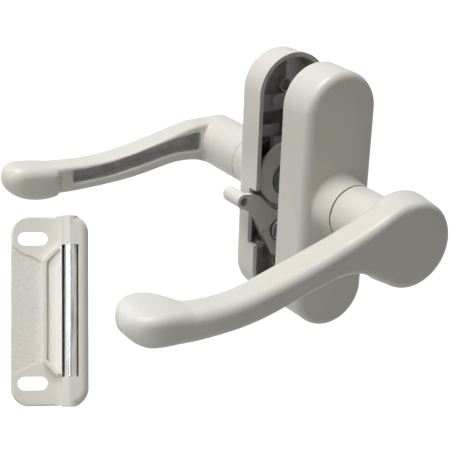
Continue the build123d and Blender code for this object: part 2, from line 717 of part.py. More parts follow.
parts = {
    "interior_housing": interior_housing,
    "exterior_escutcheon": exterior_escutcheon,
    "hub_retainer": hub_retainer,
    "retainer_screw_upper": retainer_screw_upper,
    "retainer_screw_lower": retainer_screw_lower,
    "latch_hub": latch_hub,
    "spindle": spindle,
    "exterior_lever": exterior_lever,
    "interior_lever": interior_lever,
    "exterior_snap_ring": exterior_snap_ring,
    "interior_snap_ring": interior_snap_ring,
    "exterior_grub_screw": exterior_grub_screw,
    "interior_grub_screw": interior_grub_screw,
    "exterior_neck_washer": exterior_neck_washer,
    "interior_neck_washer": interior_neck_washer,
    "latch_bolt": latch_bolt,
    "bolt_spring": bolt_spring,
    "return_spring": return_spring,
    "spring_collar": spring_collar,
    "lock_lever": lock_lever,
    "lock_pivot_screw": lock_pivot_screw,
    "detent_leaf": detent_leaf,
    "upper_through_bolt": upper_through_bolt,
    "lower_through_bolt": lower_through_bolt,
    "strike_body": strike_body,
    "strike_rod": strike_rod,
}

os.makedirs("parts", exist_ok=True)
for name, shape in parts.items():
    export_step(shape, f"parts/{name}.step")
    print(name, len(shape.solids()), round(shape.volume, 1), shape.is_valid)
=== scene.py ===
import math

import bmesh
import bpy
from mathutils import Matrix, Vector


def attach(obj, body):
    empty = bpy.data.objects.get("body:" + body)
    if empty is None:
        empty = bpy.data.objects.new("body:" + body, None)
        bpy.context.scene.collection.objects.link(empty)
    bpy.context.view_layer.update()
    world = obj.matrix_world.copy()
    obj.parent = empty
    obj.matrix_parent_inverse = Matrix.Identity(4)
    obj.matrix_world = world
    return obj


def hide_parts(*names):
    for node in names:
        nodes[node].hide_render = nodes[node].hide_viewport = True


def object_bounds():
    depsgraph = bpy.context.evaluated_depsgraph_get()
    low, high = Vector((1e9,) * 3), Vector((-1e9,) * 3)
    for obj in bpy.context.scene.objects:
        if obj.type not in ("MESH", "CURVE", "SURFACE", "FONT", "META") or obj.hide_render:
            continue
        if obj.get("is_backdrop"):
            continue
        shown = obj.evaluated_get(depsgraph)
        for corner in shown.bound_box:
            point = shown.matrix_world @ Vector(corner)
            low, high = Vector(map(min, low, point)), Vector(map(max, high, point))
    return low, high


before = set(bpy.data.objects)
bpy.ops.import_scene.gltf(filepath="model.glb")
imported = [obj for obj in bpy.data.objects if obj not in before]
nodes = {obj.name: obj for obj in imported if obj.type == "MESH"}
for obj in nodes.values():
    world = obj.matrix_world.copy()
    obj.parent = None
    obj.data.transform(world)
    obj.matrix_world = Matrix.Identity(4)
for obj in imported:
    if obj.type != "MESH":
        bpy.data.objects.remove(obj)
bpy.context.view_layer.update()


def corners(box):
    """A box's two corners as plain lists."""
    return [[float(v) for v in corner] for corner in box]


# The plates, in metres: half the straight part of a side, the radius inside the rim, the depth of the
# interior and of the exterior plate's hollow, and how far past these the bare metal is still shown
STRAIGHT = 0.0365
INNER = 0.01415
INNER_FLOOR = 0.0208
OUTER_FLOOR = 0.0233
RIM_SLACK = 0.00012
FLOOR_SLACK = 0.0006

# Where the painted shade on the lock lever's side faces ends and its knob begins
KNOB_ROOT = -0.0171
KNOB_FADE = 0.0005

# The strike: its place, its turn, lean and tilt in degrees, and in its own axes the pebbled field's width
# from the left edge, its front and its back
STRIKE_PLACE = (-0.1125, -0.0068, -0.028)
STRIKE_TURNS = (22.5, 26.2, -1.5)
STRIKE_HALF_WIDTH = 0.0136
FIELD_WIDTH = 0.0114
FIELD_FRONT = -0.0024
FIELD_BACK = -0.0009
WIDTH_FADE = 0.0002
FRONT_FADE = 0.00005
BACK_FADE = 0.0001

# Colours
WARM_WHITE = (0.81, 0.79, 0.73)
# Painted shade inside the levers' channels, in dark and light clouds
CHANNEL_SHADE_DARK = (0.60, 0.585, 0.575)
CHANNEL_SHADE_LIGHT = (0.76, 0.745, 0.735)
# Painted shade on the side faces of the lock lever and the detent leaf
SIDE_FACE_SHADE = (0.20, 0.195, 0.18)
# Painted shade in the hollows between the strike's pebbles
PEBBLE_HOLLOW_SHADE = (0.45, 0.44, 0.41)
ZINC = (0.50, 0.495, 0.47)


class Tree:
    """A small helper that adds and joins nodes in one material."""

    def __init__(self, name):
        self.material = bpy.data.materials.new(name)
        self.material.use_nodes = True
        self.tree = self.material.node_tree
        self.tree.nodes.clear()
        self.out = self.add("ShaderNodeOutputMaterial")
        self.shader = self.add("ShaderNodeBsdfPrincipled")
        self.link(self.shader.outputs["BSDF"], self.out.inputs["Surface"])
        self.place = self.add("ShaderNodeTexCoord").outputs["Object"]

    def add(self, kind, **settings):
        node = self.tree.nodes.new(kind)
        for key, value in settings.items():
            setattr(node, key, value)
        return node

    def link(self, source, target):
        self.tree.links.new(source, target)

    def put(self, target, value):
        """Sets a socket to a value, or links another node's socket to it."""
        if isinstance(value, bpy.types.NodeSocket):
            self.link(value, target)
        else:
            target.default_value = value

    def math(self, operation, *values):
        node = self.add("ShaderNodeMath", operation=operation)
        for slot, value in zip(node.inputs, values):
            self.put(slot, value)
        return node.outputs[0]

    def axes(self, vector):
        node = self.add("ShaderNodeSeparateXYZ")
        self.link(vector, node.inputs[0])
        return node.outputs

    def noise(self, scale, detail=4.0, rough=0.55, stretch=None, seed=0.0):
        mapping = self.add("ShaderNodeMapping")
        self.link(self.place, mapping.inputs["Vector"])
        mapping.inputs["Location"].default_value = (seed, seed * 0.7, seed * 1.3)
        if stretch:
            mapping.inputs["Scale"].default_value = stretch
        node = self.add("ShaderNodeTexNoise")
        self.link(mapping.outputs[0], node.inputs["Vector"])
        node.inputs["Scale"].default_value = scale
        node.inputs["Detail"].default_value = detail
        node.inputs["Roughness"].default_value = rough
        return node.outputs[0]

    def ramp(self, value, low, high, start=0.0, end=1.0):
        node = self.add("ShaderNodeMapRange", interpolation_type="SMOOTHSTEP")
        self.put(node.inputs["Value"], value)
        node.inputs["From Min"].default_value = low
        node.inputs["From Max"].default_value = high
        node.inputs["To Min"].default_value = start
        node.inputs["To Max"].default_value = end
        return node.outputs[0]

    def step(self, value, place, fade, start=0.0, end=1.0):
        """A soft step at one place, over its fade to either side."""
        return self.ramp(value, place - fade, place + fade, start, end)

    def mix(self, factor, first, second):
        node = self.add("ShaderNodeMix", data_type="RGBA")
        self.put(node.inputs[0], factor)
        self.put(node.inputs[6], (*first, 1) if isinstance(first, tuple) else first)
        self.put(node.inputs[7], (*second, 1) if isinstance(second, tuple) else second)
        return node.outputs[2]

    def bump(self, height, strength, distance, below=None):
        node = self.add("ShaderNodeBump")
        self.link(height, node.inputs["Height"])
        self.put(node.inputs["Strength"], strength)
        node.inputs["Distance"].default_value = distance
        if below is not None:
            self.link(below, node.inputs["Normal"])
        return node.outputs[0]

    def colour(self, value):
        self.put(self.shader.inputs["Base Color"], (*value, 1) if isinstance(value, tuple) else value)

    def rough(self, value):
        self.put(self.shader.inputs["Roughness"], value)

    def metal(self, value):
        self.put(self.shader.inputs["Metallic"], value)

    def normal(self, value):
        self.link(value, self.shader.inputs["Normal"])

    def coat(self, weight, rough):
        self.shader.inputs["Coat Weight"].default_value = weight
        self.shader.inputs["Coat Roughness"].default_value = rough


def shade(colour, factor):
    return tuple(part * factor for part in colour)


def warm_and_cool(t, colour):
    """A colour in slight warm and cool patches, with the patches themselves."""
    patches = t.noise(38, 3, 0.5)
    warm = tuple(part * factor for part, factor in zip(colour, (1.0, 0.985, 0.955)))
    cool = tuple(part * factor for part, factor in zip(colour, (0.965, 0.975, 0.985)))
    return t.mix(t.ramp(patches, 0.35, 0.65), warm, cool), patches


def orange_peel(t, below=None):
    return t.bump(t.noise(1300, 2, 0.5), 0.10, 0.00012, below)


def inside_plates(t):
    """1 on the surfaces of a plate's hollow, 0 on its painted outside."""
    x, y, z = t.axes(t.place)
    high = t.math("MAXIMUM", t.math("SUBTRACT", t.math("ABSOLUTE", z), STRAIGHT), 0.0)
    across = t.math("SQRT", t.math("ADD", t.math("MULTIPLY", x, x), t.math("MULTIPLY", high, high)))
    near = t.math("LESS_THAN", across, INNER + RIM_SLACK)
    deep = t.math("LESS_THAN", t.math("ABSOLUTE", y), OUTER_FLOOR + FLOOR_SLACK)
    shallow = t.math("LESS_THAN", y, INNER_FLOOR + FLOOR_SLACK)
    return t.math("MULTIPLY", near, t.math("MULTIPLY", deep, shallow))


def enamel(name, colour=WARM_WHITE, hollow=False, rough=0.36, channel=False, edges=False):
    """Sprayed enamel on a die casting: faint orange peel, slight warm and cool patches, a soft sheen.

    It can leave a plate's hollow bare, darken a lever's channel with painted shade or darken side faces with
    painted shade.
    """
    t = Tree(name)
    tint, patches = warm_and_cool(t, colour)
    specks = t.noise(900, 2, 0.5, seed=3.0)
    tint = t.mix(t.ramp(specks, 0.70, 0.80, 0.0, 0.10), tint, shade(colour, 0.72))
    swell = t.noise(120, 2, 0.5, seed=1.7)
    surface = t.bump(swell, 0.12, 0.0006, orange_peel(t))
    roughness = t.ramp(patches, 0.3, 0.7, rough - 0.04, rough + 0.05)
    if hollow:
        mask = inside_plates(t)
        stain = t.noise(160, 5, 0.6, seed=5.0)
        bare = t.mix(t.ramp(stain, 0.35, 0.7), shade(ZINC, 0.84), shade(ZINC, 1.14))
        tint = t.mix(mask, tint, bare)
        roughness = t.math("ADD", roughness, t.math("MULTIPLY", mask, 0.16))
        t.metal(t.math("MULTIPLY", mask, 0.25))
    if channel:
        # Painted shade: the channel's walls and floor darker and clouded, darkening over the first depth in
        channel_shade = t.add("ShaderNodeAttribute", attribute_name="channel_shade").outputs["Fac"]
        clouds = t.noise(240, 4, 0.6, seed=9.0)
        tint = t.mix(channel_shade, tint, t.mix(t.ramp(clouds, 0.35, 0.7), CHANNEL_SHADE_DARK, CHANNEL_SHADE_LIGHT))
        roughness = t.math("ADD", roughness, t.math("MULTIPLY", channel_shade, 0.15))
    if edges:
        # Painted shade: faces that do not look along Y are darkened, up to the knob's root
        facing = t.axes(t.add("ShaderNodeNewGeometry").outputs["True Normal"])[1]
        side_shade = t.ramp(t.math("ABSOLUTE", facing), 0.2, 0.6, 1.0, 0.0)
        inboard = t.step(t.axes(t.place)[0], KNOB_ROOT, KNOB_FADE)
        tint = t.mix(t.math("MULTIPLY", side_shade, inboard), tint, SIDE_FACE_SHADE)
    t.colour(tint)
    t.rough(roughness)
    t.normal(surface)
    t.coat(0.12, 0.22)
    return t.material


def cast_zinc(name, colour, rough=0.5, metal=0.75):
    """Bare or passivated cast zinc: blotched, lightly pitted."""
    t = Tree(name)
    stain = t.noise(210, 5, 0.6)
    t.colour(t.mix(t.ramp(stain, 0.3, 0.7), shade(colour, 0.72), shade(colour, 1.2)))
    t.rough(t.ramp(stain, 0.3, 0.7, rough - 0.08, rough + 0.12))
    t.metal(metal)
    pits = t.noise(1500, 3, 0.6, seed=2.0)
    t.normal(t.bump(pits, 0.25, 0.0001))
    return t.material


def steel(name, colour, rough, grain, strength=0.12):
    """Drawn or plated steel with fine lines along one axis."""
    t = Tree(name)
    lines = t.noise(2600, 2, 0.5, stretch=grain)
    haze = t.noise(180, 3, 0.5, seed=4.0)
    t.colour(t.mix(t.ramp(haze, 0.35, 0.7), colour, shade(colour, 0.86)))
    t.rough(t.ramp(lines, 0.3, 0.7, rough - 0.04, rough + 0.07))
    t.metal(1.0)
    t.normal(t.bump(lines, strength, 0.00005))
    return t.material


def strike_enamel(name):
    """The strike's enamel, with the pebbled field left of the upright ridge and painted shade in the
    pebbles' hollows.
    """
    t = Tree(name)
    turn, lean, tilt = (math.radians(-angle) for angle in STRIKE_TURNS)
    stand = Matrix.Rotation(turn, 3, "Z") @ Matrix.Rotation(lean, 3, "X") @ Matrix.Rotation(tilt, 3, "Y")
    back = t.add("ShaderNodeMapping", vector_type="TEXTURE")
    t.link(t.place, back.inputs["Vector"])
    back.inputs["Location"].default_value = STRIKE_PLACE
    back.inputs["Rotation"].default_value = tuple(stand.to_euler("XYZ"))
    x, y, _ = t.axes(back.outputs[0])
    from_left = t.math("ADD", x, STRIKE_HALF_WIDTH)
    behind_front = t.step(y, FIELD_FRONT, FRONT_FADE)
    before_back = t.step(y, FIELD_BACK, BACK_FADE, 1.0, 0.0)
    depth = t.math("MULTIPLY", behind_front, before_back)
    field = t.math("MULTIPLY", depth, t.step(from_left, FIELD_WIDTH, WIDTH_FADE, 1.0, 0.0))
    tint, _ = warm_and_cool(t, WARM_WHITE)
    pebbles = t.add("ShaderNodeTexVoronoi", feature="SMOOTH_F1")
    t.link(t.place, pebbles.inputs["Vector"])
    pebbles.inputs["Scale"].default_value = 950
    pebbles.inputs["Smoothness"].default_value = 0.6
    grains = t.math("SUBTRACT", 1.0, pebbles.outputs["Distance"])
    fine = t.noise(1500, 2, 0.5)
    height = t.math("ADD", grains, t.math("MULTIPLY", fine, 0.5))
    # Painted shade: darker where the pebbles dip, within the field only
    hollow_shade = t.ramp(pebbles.outputs["Distance"], 0.35, 0.75)
    t.colour(t.mix(t.math("MULTIPLY", hollow_shade, t.math("MULTIPLY", field, 0.16)), tint, PEBBLE_HOLLOW_SHADE))
    t.rough(t.math("ADD", 0.36, t.math("MULTIPLY", field, 0.15)))
    t.normal(orange_peel(t, t.bump(t.math("MULTIPLY", height, field), 0.45, 0.0003)))
    t.coat(0.1, 0.25)
    return t.material


def nylon(name):
    """Dull dark nylon, faintly clouded."""
    t = Tree(name)
    cloud = t.noise(300, 3, 0.5)
    t.colour(t.mix(t.ramp(cloud, 0.35, 0.65), (0.045, 0.044, 0.042), (0.075, 0.073, 0.07)))
    t.rough(t.ramp(cloud, 0.3, 0.7, 0.5, 0.62))
    t.normal(t.bump(t.noise(1800, 2, 0.5), 0.12, 0.00008))
    return t.material


plate_enamel = enamel("plate_enamel", hollow=True)
lever_enamel = enamel("lever_enamel", channel=True)
plated = steel("plated_steel", (0.60, 0.60, 0.58), 0.34, (1, 1, 1))
dressed = {
    "interior_housing": plate_enamel,
    "exterior_escutcheon": plate_enamel,
    "exterior_lever": lever_enamel,
    "interior_lever": lever_enamel,
    "hub_retainer": enamel("retainer_enamel", (0.80, 0.775, 0.71), rough=0.42),
    "latch_hub": cast_zinc("hub_zinc", (0.26, 0.26, 0.215), 0.48, 0.6),
    "lock_lever": enamel("lock_enamel", (0.82, 0.795, 0.73), rough=0.40, edges=True),
    "detent_leaf": enamel("leaf_enamel", (0.74, 0.72, 0.67), rough=0.45, edges=True),
    "latch_bolt": enamel("bolt_enamel", (0.74, 0.73, 0.69), rough=0.4),
    "spring_collar": cast_zinc("collar_zinc", (0.24, 0.24, 0.21), 0.5, 0.6),
    "spindle": steel("spindle_steel", (0.58, 0.58, 0.56), 0.32, (1, 0.04, 1)),
    "strike_body": strike_enamel("strike_enamel"),
    "strike_rod": steel("rod_chrome", (0.86, 0.86, 0.87), 0.15, (1, 1, 0.03), 0.002),
    "bolt_spring": steel("bolt_spring_wire", (0.45, 0.45, 0.44), 0.3, (1, 1, 1)),
    "return_spring": steel("return_spring_wire", (0.45, 0.45, 0.44), 0.3, (1, 1, 1)),
    "exterior_snap_ring": steel("snap_ring_steel", (0.30, 0.30, 0.30), 0.4, (1, 1, 1)),
    "exterior_neck_washer": nylon("washer_nylon"),
}
dressed["interior_snap_ring"] = dressed["exterior_snap_ring"]
dressed["interior_neck_washer"] = dressed["exterior_neck_washer"]
for name, obj in nodes.items():
    material = dressed.get(name, plated)
    if obj.material_slots:
        for slot in obj.material_slots:
            slot.material = material
    else:
        obj.data.materials.append(material)

# The levers, in millimetres. Each station of an arm gives its reach, top, bottom, outer face and inner
# face, then the rounding of the upper outer, lower outer and inner edges. Depths grow outwards from the
# door for either lever. A tip gives its end, its nose's height, and how far before the end its top, bottom
# and sides turn in.
EXTERIOR_ARM = [
    (3.0, 16.4, -13.4, 71.9, 59.6, 3.0, 3.0, 2.0),
    (6.0, 15.9, -13.4, 71.9, 59.6, 3.0, 3.0, 2.0),
    (9.0, 14.8, -13.0, 71.95, 59.5, 3.0, 3.0, 2.0),
    (12.0, 13.5, -12.0, 72.0, 59.4, 3.0, 3.0, 2.0),
    (15.0, 12.0, -10.4, 72.0, 59.3, 3.1, 3.0, 2.0),
    (18.0, 10.6, -8.6, 72.0, 59.2, 3.2, 3.0, 2.0),
    (21.0, 9.3, -7.1, 72.0, 59.2, 3.3, 2.8, 2.0),
    (25.0, 7.7, -6.0, 72.0, 59.0, 3.4, 2.6, 2.0),
    (30.0, 5.7, -5.8, 72.0, 58.8, 3.4, 2.5, 2.0),
    (35.0, 4.0, -6.4, 72.2, 58.6, 3.4, 2.4, 2.0),
    (45.0, 0.8, -8.8, 72.6, 58.6, 3.4, 2.4, 2.0),
    (55.0, -1.6, -11.3, 73.3, 59.4, 3.4, 2.4, 2.0),
    (64.0, -3.2, -13.0, 74.3, 61.0, 3.5, 2.4, 2.0),
    (73.0, -4.3, -13.9, 75.3, 62.4, 3.7, 2.5, 2.1),
    (81.0, -4.5, -14.1, 76.2, 62.9, 4.0, 2.8, 2.3),
    (88.0, -4.2, -14.0, 76.9, 62.6, 4.0, 3.1, 2.8),
    (91.5, -4.0, -13.9, 77.2, 61.2, 4.0, 3.2, 3.0),
    (94.5, -3.2, -13.6, 77.4, 58.0, 4.0, 3.2, 3.2),
    (98.0, -2.5, -13.3, 77.6, 55.0, 3.6, 3.3, 3.4),
    (102.0, -2.0, -13.1, 77.7, 53.6, 3.5, 3.3, 3.4),
    (107.0, -1.9, -12.9, 77.8, 53.4, 3.5, 3.3, 3.4),
    (113.5, -1.9, -12.8, 77.9, 53.4, 3.5, 3.3, 3.4),
]
EXTERIOR_TIP = (113.3, -7.6, 6.5, 7.5, 12.0)
INTERIOR_ARM = [
    (3.0, 10.2, -9.9, 72.3, 60.6, 3.0, 2.6, 1.8),
    (6.0, 9.9, -9.1, 72.35, 60.6, 3.0, 2.6, 1.8),
    (9.0, 9.8, -7.9, 72.4, 60.5, 3.0, 2.6, 1.8),
    (13.0, 9.6, -6.6, 72.4, 60.4, 3.0, 2.5, 1.7),
    (18.0, 8.7, -5.8, 72.5, 60.0, 3.0, 2.4, 1.6),
    (24.0, 7.2, -5.7, 72.6, 59.7, 3.0, 2.4, 1.6),
    (30.0, 5.5, -6.6, 72.7, 59.6, 3.0, 2.4, 1.6),
    (38.0, 3.4, -8.2, 73.0, 59.6, 3.0, 2.4, 1.6),
    (46.0, 1.5, -9.6, 73.4, 59.8, 3.0, 2.4, 1.6),
    (54.0, 0.1, -10.6, 73.9, 60.3, 3.0, 2.4, 1.6),
    (62.0, -0.7, -11.4, 74.4, 61.0, 3.0, 2.4, 1.6),
    (70.0, -0.8, -12.0, 74.9, 61.6, 3.0, 2.4, 1.7),
    (78.0, -0.4, -12.1, 75.3, 61.4, 3.0, 2.6, 2.2),
    (84.0, -0.2, -11.9, 75.3, 61.4, 3.0, 2.8, 2.4),
]
INTERIOR_PAD = [
    (78.5, -1.7, -11.2, 74.2, 60.4, 2.0, 2.0, 2.0),
    (78.8, -1.0, -11.9, 75.0, 59.5, 2.6, 2.6, 2.6),
    (79.8, -0.4, -12.6, 75.6, 58.8, 3.2, 3.4, 3.6),
    (85.0, 0.6, -13.1, 75.9, 58.2, 3.6, 3.8, 4.2),
    (92.0, 1.6, -12.9, 75.8, 58.2, 4.2, 4.4, 4.6),
    (100.9, 2.3, -12.7, 75.6, 58.4, 4.4, 4.6, 4.8),
]
INTERIOR_TIP = (100.9, -4.2, 7.5, 15.5, 9.5)
# The channel in each arm: reach, upper and lower lip, and how far its floor lies past the inner face
EXTERIOR_CHANNEL = [
    (26.0, 5.4, -3.0, 5.0),
    (36.0, 1.6, -3.8, 5.4),
    (50.0, -2.4, -7.0, 5.4),
    (64.0, -5.6, -9.8, 5.4),
    (78.0, -6.4, -10.6, 5.0),
]
INTERIOR_CHANNEL = [
    (11.9, 6.4, -1.8, 7.2),
    (14.5, 6.2, -1.7, 7.8),
    (18.0, 5.9, -1.5, 8.2),
    (24.5, 5.0, -1.4, 8.4),
    (37.0, 2.4, -3.6, 8.4),
    (53.0, -1.1, -6.7, 8.2),
    (66.0, -2.8, -8.0, 7.6),
    (71.6, -2.9, -8.2, 7.0),
]
CHANNEL_ROUND = 1.2
MOUTH_ROUND = 0.2
CHANNEL_OVERCUT = 3
# How far round the channel the painted shade reaches, and over what depth it darkens
SHADE_MARGIN = 0.5
SHADE_START = 0.2
SHADE_RUN = 1.3
SHADE_PAST_FLOOR = 0.7

# Each neck and its head: radii from the spindle's axis, depths, and the rounding between and at their faces
NECK_RADIUS = 11.15
NECK_FILLET = 3.0
EXTERIOR_JOINT = 35.35
INTERIOR_JOINT = 34.85
LOBE_BACK = 58.1
LOBE_BACK_RADIUS = 17.6
LOBE_BACK_ROUND = 2.6
LOBE_FRONT = 72.0
LOBE_FRONT_RADIUS = 16.5
LOBE_FRONT_ROUND = 2.8
ELBOW_END = 72.4
ELBOW_ROUND = 6.25

# The grub screw's hole under each neck, and the machined journal that turns inside the plate
GRUB_DEPTH = 45.0
GRUB_HEIGHT = -8.5
GRUB_LENGTH = 9.0
GRUB_RADIUS = 2.55
JOURNAL_RADIUS = 9.4
JOURNAL_OVERLAP = 1.0

# How round the blunt ends are, and how near their rings come to closing
UPPER_POWER = 2.4
LOWER_POWER = 2.2
SIDE_POWER = 2.3
LAST_WAY = 0.999

# How finely the skins are drawn. The voxel alone is in metres
RING_STEP = 0.7
TIP_CROWDING = 1.6
CHANNEL_RINGS = 40
CORNER_STEPS = 8
NEARLY_HALF = 0.49
ARC_STEPS = 10
LATHE_STEPS = 128
VOXEL = 0.0005


def between(stations, reach):
    """The measures at one reach, on smooth curves through the stations."""
    last = len(stations) - 1
    here = next((k for k in range(last) if reach <= stations[k + 1][0] + 1e-6), last - 1)
    start, end = stations[here], stations[here + 1]
    before, after = stations[max(here - 1, 0)], stations[min(here + 2, last)]
    span = end[0] - start[0]
    way = (reach - start[0]) / span
    found = []
    for k in range(1, len(start)):
        leave = (end[k] - before[k]) / (end[0] - before[0]) * span
        arrive = (after[k] - start[k]) / (after[0] - start[0]) * span
        rise = end[k] - start[k]
        bend = 3 * rise - 2 * leave - arrive
        found.append(start[k] + way * (leave + way * (bend + way * (leave + arrive - 2 * rise))))
    return found


def section(side, reach, top, bottom, outer, inner, upper, lower, near):
    """A ring of points around one rounded cross-section of an arm."""
    most = NEARLY_HALF * min(top - bottom, outer - inner)
    corners = [
        (outer, top, -1, -1, upper, 0),
        (inner, top, 1, -1, near, 90),
        (inner, bottom, 1, 1, near, 180),
        (outer, bottom, -1, 1, lower, 270),
    ]
    ring = []
    for deep, high, in_deep, in_high, radius, start in corners:
        radius = min(radius, most)
        centre = (deep + in_deep * radius, high + in_high * radius)
        for k in range(CORNER_STEPS + 1):
            turn = math.radians(start + 90 * k / CORNER_STEPS)
            y = centre[0] + radius * math.cos(turn)
            z = centre[1] + radius * math.sin(turn)
            ring.append((-reach / 1000, side * y / 1000, z / 1000))
    return ring


def blunted(reach, sizes, tip):
    """A section's measures drawn in towards the blunt end of a lever."""
    end, nose, upper_run, lower_run, side_run = tip
    top, bottom, outer, inner, *rounds = sizes

    def drawn(run, power):
        """The share of a measure that is left, on a round curve of one power."""
        way = min(max(1 - (end - reach) / run, 0.0), LAST_WAY)
        return (1 - way**power) ** (1 / power)

    middle = (outer + inner) / 2
    half = (outer - inner) / 2 * drawn(side_run, SIDE_POWER)
    top = nose + (top - nose) * drawn(upper_run, UPPER_POWER)
    bottom = nose + (bottom - nose) * drawn(lower_run, LOWER_POWER)
    return [top, bottom, middle + half, middle - half, *rounds]


def rings_to_mesh(rings):
    """A closed skin over a row of rings."""
    bm = bmesh.new()
    rows = [[bm.verts.new(point) for point in ring] for ring in rings]
    count = len(rows[0])
    for first, second in zip(rows, rows[1:]):
        for k in range(count):
            bm.faces.new((first[k], first[(k + 1) % count], second[(k + 1) % count], second[k]))
    bm.faces.new(rows[0][::-1])
    bm.faces.new(rows[-1])
    bmesh.ops.recalc_face_normals(bm, faces=bm.faces)
    return bm


def arm_mesh(side, stations, tip=None):
    """The skin of an arm or bulb. With a tip, its rings crowd towards the end."""
    first, last = stations[0][0], stations[-1][0]
    steps = round((last - first) / RING_STEP)
    rings = []
    for k in range(steps + 1):
        reach = first + (last - first) * k / steps
        if tip:
            reach = first + (last - first) * (1 - (1 - k / steps) ** TIP_CROWDING)
        sizes = between(stations, reach)
        if tip:
            sizes = blunted(reach, sizes, tip)
        rings.append(section(side, reach, *sizes))
    return rings_to_mesh(rings)


def inner_face(arm, reach):
    """How deep the inner face of an arm lies at one reach."""
    return between(arm, reach)[3]


def channel_mesh(side, stations, arm):
    """The solid that is cut out of an arm's inner face."""
    first, last = stations[0][0], stations[-1][0]
    rings = []
    for k in range(CHANNEL_RINGS + 1):
        reach = first + (last - first) * k / CHANNEL_RINGS
        high, low, depth = between(stations, reach)
        inner = inner_face(arm, reach)
        sizes = (high, low, inner + depth, inner - CHANNEL_OVERCUT)
        rings.append(section(side, reach, *sizes, CHANNEL_ROUND, CHANNEL_ROUND, MOUTH_ROUND))
    return rings_to_mesh(rings)


def lathe_mesh(side, profile):
    """A closed solid turned about the spindle, from radius and depth in millimetres."""
    rings = []
    for radius, depth in profile:
        ring = []
        for k in range(LATHE_STEPS):
            turn = 2 * math.pi * k / LATHE_STEPS
            x, z = radius * math.cos(turn), radius * math.sin(turn)
            ring.append((x / 1000, side * depth / 1000, z / 1000))
        rings.append(ring)
    return rings_to_mesh(rings)


def rod_mesh(radius, length, place, sides):
    """A closed cylinder along Z before it is placed, from radius and length in millimetres."""
    bm = bmesh.new()
    bmesh.ops.create_cone(
        bm, cap_ends=True, segments=sides, radius1=radius / 1000, radius2=radius / 1000,
        depth=length / 1000, matrix=place,
    )
    return bm


def arc(centre, radius, start, end):
    """Points on an arc, from angles in degrees."""
    turns = [math.radians(start + (end - start) * k / ARC_STEPS) for k in range(ARC_STEPS + 1)]
    return [(centre[0] + radius * math.cos(turn), centre[1] + radius * math.sin(turn)) for turn in turns]


def linked(name, data):
    """A new object in the scene."""
    obj = bpy.data.objects.new(name, data)
    bpy.context.collection.objects.link(obj)
    return obj


def as_object(name, bm):
    mesh = bpy.data.meshes.new(name)
    bm.to_mesh(mesh)
    bm.free()
    return linked(name, mesh)


def settle(obj):
    """Applies an object's modifiers."""
    graph = bpy.context.evaluated_depsgraph_get()
    mesh = bpy.data.meshes.new_from_object(obj.evaluated_get(graph), depsgraph=graph)
    obj.modifiers.clear()
    obj.data = mesh


def cut(obj, other, operation):
    """Cuts one object by another, which is then removed."""
    change = obj.modifiers.new("cut", "BOOLEAN")
    change.operation = operation
    change.solver = "EXACT"
    change.object = other
    settle(obj)
    bpy.data.objects.remove(other)


def join(obj, *others):
    """Adds the meshes of other objects to one object and removes the others."""
    whole = bmesh.new()
    for each in (obj, *others):
        whole.from_mesh(each.data)
    whole.to_mesh(obj.data)
    whole.free()
    for other in others:
        bpy.data.objects.remove(other)


def set_smooth(obj, smooth):
    for face in obj.data.polygons:
        face.use_smooth = smooth


def shade_channel(mesh, side, arm, channel):
    """Marks how far each point lies inside the channel, for the painted shade there."""
    marks = mesh.attributes.new("channel_shade", "FLOAT", "POINT")
    for vertex, mark in zip(mesh.vertices, marks.data):
        reach, y, z = -1000 * vertex.co.x, 1000 * side * vertex.co.y, 1000 * vertex.co.z
        mark.value = 0.0
        if not channel[0][0] - SHADE_MARGIN <= reach <= channel[-1][0] + SHADE_MARGIN:
            continue
        high, low, depth = between(channel, reach)
        into = y - inner_face(arm, reach)
        across = low - SHADE_MARGIN <= z <= high + SHADE_MARGIN
        if across and SHADE_START < into < depth + SHADE_PAST_FLOOR:
            mark.value = min((into - SHADE_START) / SHADE_RUN, 1.0)


def casting(name, side, arm, tip, pad, channel, profile):
    """A lever's arm with its channel, its neck and head, and its bulb if it has one, grown into one skin."""
    body = as_object(name, arm_mesh(side, arm, None if pad else tip))
    cut(body, as_object("channel_cut", channel_mesh(side, channel, arm)), "DIFFERENCE")
    neck = as_object("neck_blank", lathe_mesh(side, profile))
    hole = Matrix.Translation((0, side * GRUB_DEPTH / 1000, GRUB_HEIGHT / 1000))
    cut(neck, as_object("grub_hole", rod_mesh(GRUB_RADIUS, GRUB_LENGTH, hole, 48)), "DIFFERENCE")
    bulb = [as_object("bulb_blank", arm_mesh(side, pad, tip))] if pad else []
    join(body, neck, *bulb)
    skin = body.modifiers.new("skin", "REMESH")
    skin.mode = "VOXEL"
    skin.voxel_size = VOXEL
    ease = body.modifiers.new("ease", "SMOOTH")
    ease.factor = 0.5
    ease.iterations = 5
    settle(body)
    set_smooth(body, True)
    return body


def journal_of(node, side, joint):
    """The machined journal, taken from the lever's solid as far as the joint line and a little past it."""
    journal = linked("journal_blank", nodes[node].data.copy())
    length = joint + JOURNAL_OVERLAP
    lie = Matrix.Translation((0, side * length / 2000, 0)) @ Matrix.Rotation(math.radians(90), 4, "X")
    cut(journal, as_object("journal_reach", rod_mesh(JOURNAL_RADIUS, length, lie, 96)), "INTERSECT")
    set_smooth(journal, False)
    return journal


def lever(name, node, side, arm, tip, pad, channel, profile, joint):
    """One cast lever with its journal, in place of its solid."""
    body = casting(name, side, arm, tip, pad, channel, profile)
    join(body, journal_of(node, side, joint))
    shade_channel(body.data, side, arm, channel)
    body.data.materials.clear()
    body.data.materials.append(lever_enamel)
    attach(body, "levers")
    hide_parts(node)


